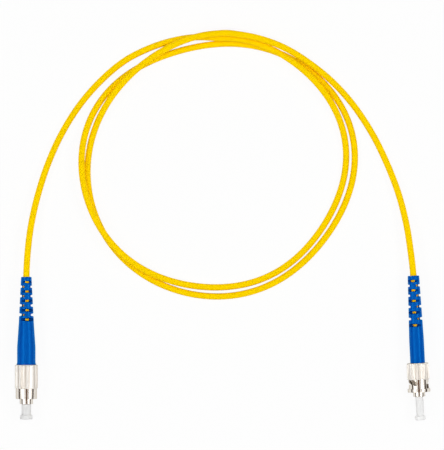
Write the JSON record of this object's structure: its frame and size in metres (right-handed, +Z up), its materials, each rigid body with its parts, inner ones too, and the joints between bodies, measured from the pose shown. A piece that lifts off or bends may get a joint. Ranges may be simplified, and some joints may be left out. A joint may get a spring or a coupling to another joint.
{
  "type": "fiber optic patch cord",
  "caption": "Simplex fibre optic patch cord in loose loops, with a threaded round plug at one end, a bayonet round plug at the other, slotted boots and dust caps.",
  "frame": {"origin": "bottom centre of the box round the two plugs, on the surface that the cord lies on", "axes": "+Z up from the surface, +X from the threaded plug to the bayonet plug, both plugs point towards -Y and the loops lie towards +Y"},
  "size_m": [0.182, 0.1709, 0.01],
  "materials": {
    "cable_jacket": "smooth extruded PVC jacket, bright yellow",
    "boot": "soft moulded elastomer, blue, fine mould grain",
    "nickel_plate": "nickel-plated brass, bright turned finish",
    "crimp_metal": "nickel-plated crimp brass, dull",
    "spring_steel": "stainless spring wire and punched parts",
    "zirconia": "polished zirconia",
    "cap_plastic": "translucent natural polyethylene",
    "guide_plastic": "natural fluoropolymer tube",
    "buffer_plastic": "tight buffer, yellow",
    "aramid": "aramid yarn, straight strands",
    "glass_fibre": "bare silica fibre"
  },
  "bodies": {
    "cord": {"cable_fc_lead": "cable_jacket", "cable_coil": "cable_jacket", "cable_st_lead": "cable_jacket", "fc_boot": "boot", "st_boot": "boot", "fc_crimp_sleeve": "crimp_metal", "st_crimp_sleeve": "crimp_metal", "fc_back_body": "crimp_metal", "fc_aramid_yarn": "aramid", "st_aramid_yarn": "aramid", "fc_plug_frame": "nickel_plate", "st_body": "nickel_plate", "fc_spring": "spring_steel", "st_spring": "spring_steel", "st_retaining_clip": "spring_steel", "st_ferrule": "zirconia", "st_buffer": "buffer_plastic", "st_fibre": "glass_fibre"},
    "fc_nut": {"fc_coupling_nut": "nickel_plate"},
    "fc_ferrule_set": {"fc_ferrule_holder": "nickel_plate", "fc_ferrule": "zirconia", "fc_guide_tube": "guide_plastic", "fc_buffer": "buffer_plastic", "fc_fibre": "glass_fibre"},
    "fc_cap": {"fc_dust_cap": "cap_plastic"},
    "st_washer": {"st_thrust_washer": "spring_steel"},
    "st_nut": {"st_bayonet_nut": "nickel_plate"},
    "st_cap": {"st_dust_cap": "cap_plastic"}
  },
  "joints": [
    {"name": "fc_nut_turn", "type": "hinge", "parent": "cord", "child": "fc_nut", "pos_m": [-0.086, -0.01391, 0.005], "axis": [0, -1, 0], "continuous": true},
    {"name": "fc_ferrule_float", "type": "slide", "parent": "cord", "child": "fc_ferrule_set", "axis": [0, -1, 0], "range_m": [-0.001, 0], "stiffness_N_per_m": 1000, "springref_m": 0.004, "deforming": ["fc_spring"]},
    {"name": "fc_cap_pull", "type": "slide", "parent": "fc_ferrule_set", "child": "fc_cap", "axis": [0, -1, 0], "range_m": [0, 0.012]},
    {"name": "st_nut_push", "type": "slide", "parent": "cord", "child": "st_washer", "axis": [0.0489, -0.9988, 0], "range_m": [0, 0.0022], "stiffness_N_per_m": 800, "springref_m": -0.004, "deforming": ["st_spring"]},
    {"name": "st_nut_turn", "type": "hinge", "parent": "st_washer", "child": "st_nut", "pos_m": [0.08576, -0.01336, 0.00495], "axis": [0.0489, -0.9988, 0], "continuous": true},
    {"name": "st_cap_pull", "type": "slide", "parent": "cord", "child": "st_cap", "axis": [0.0489, -0.9988, 0], "range_m": [0, 0.014]}
  ]
}
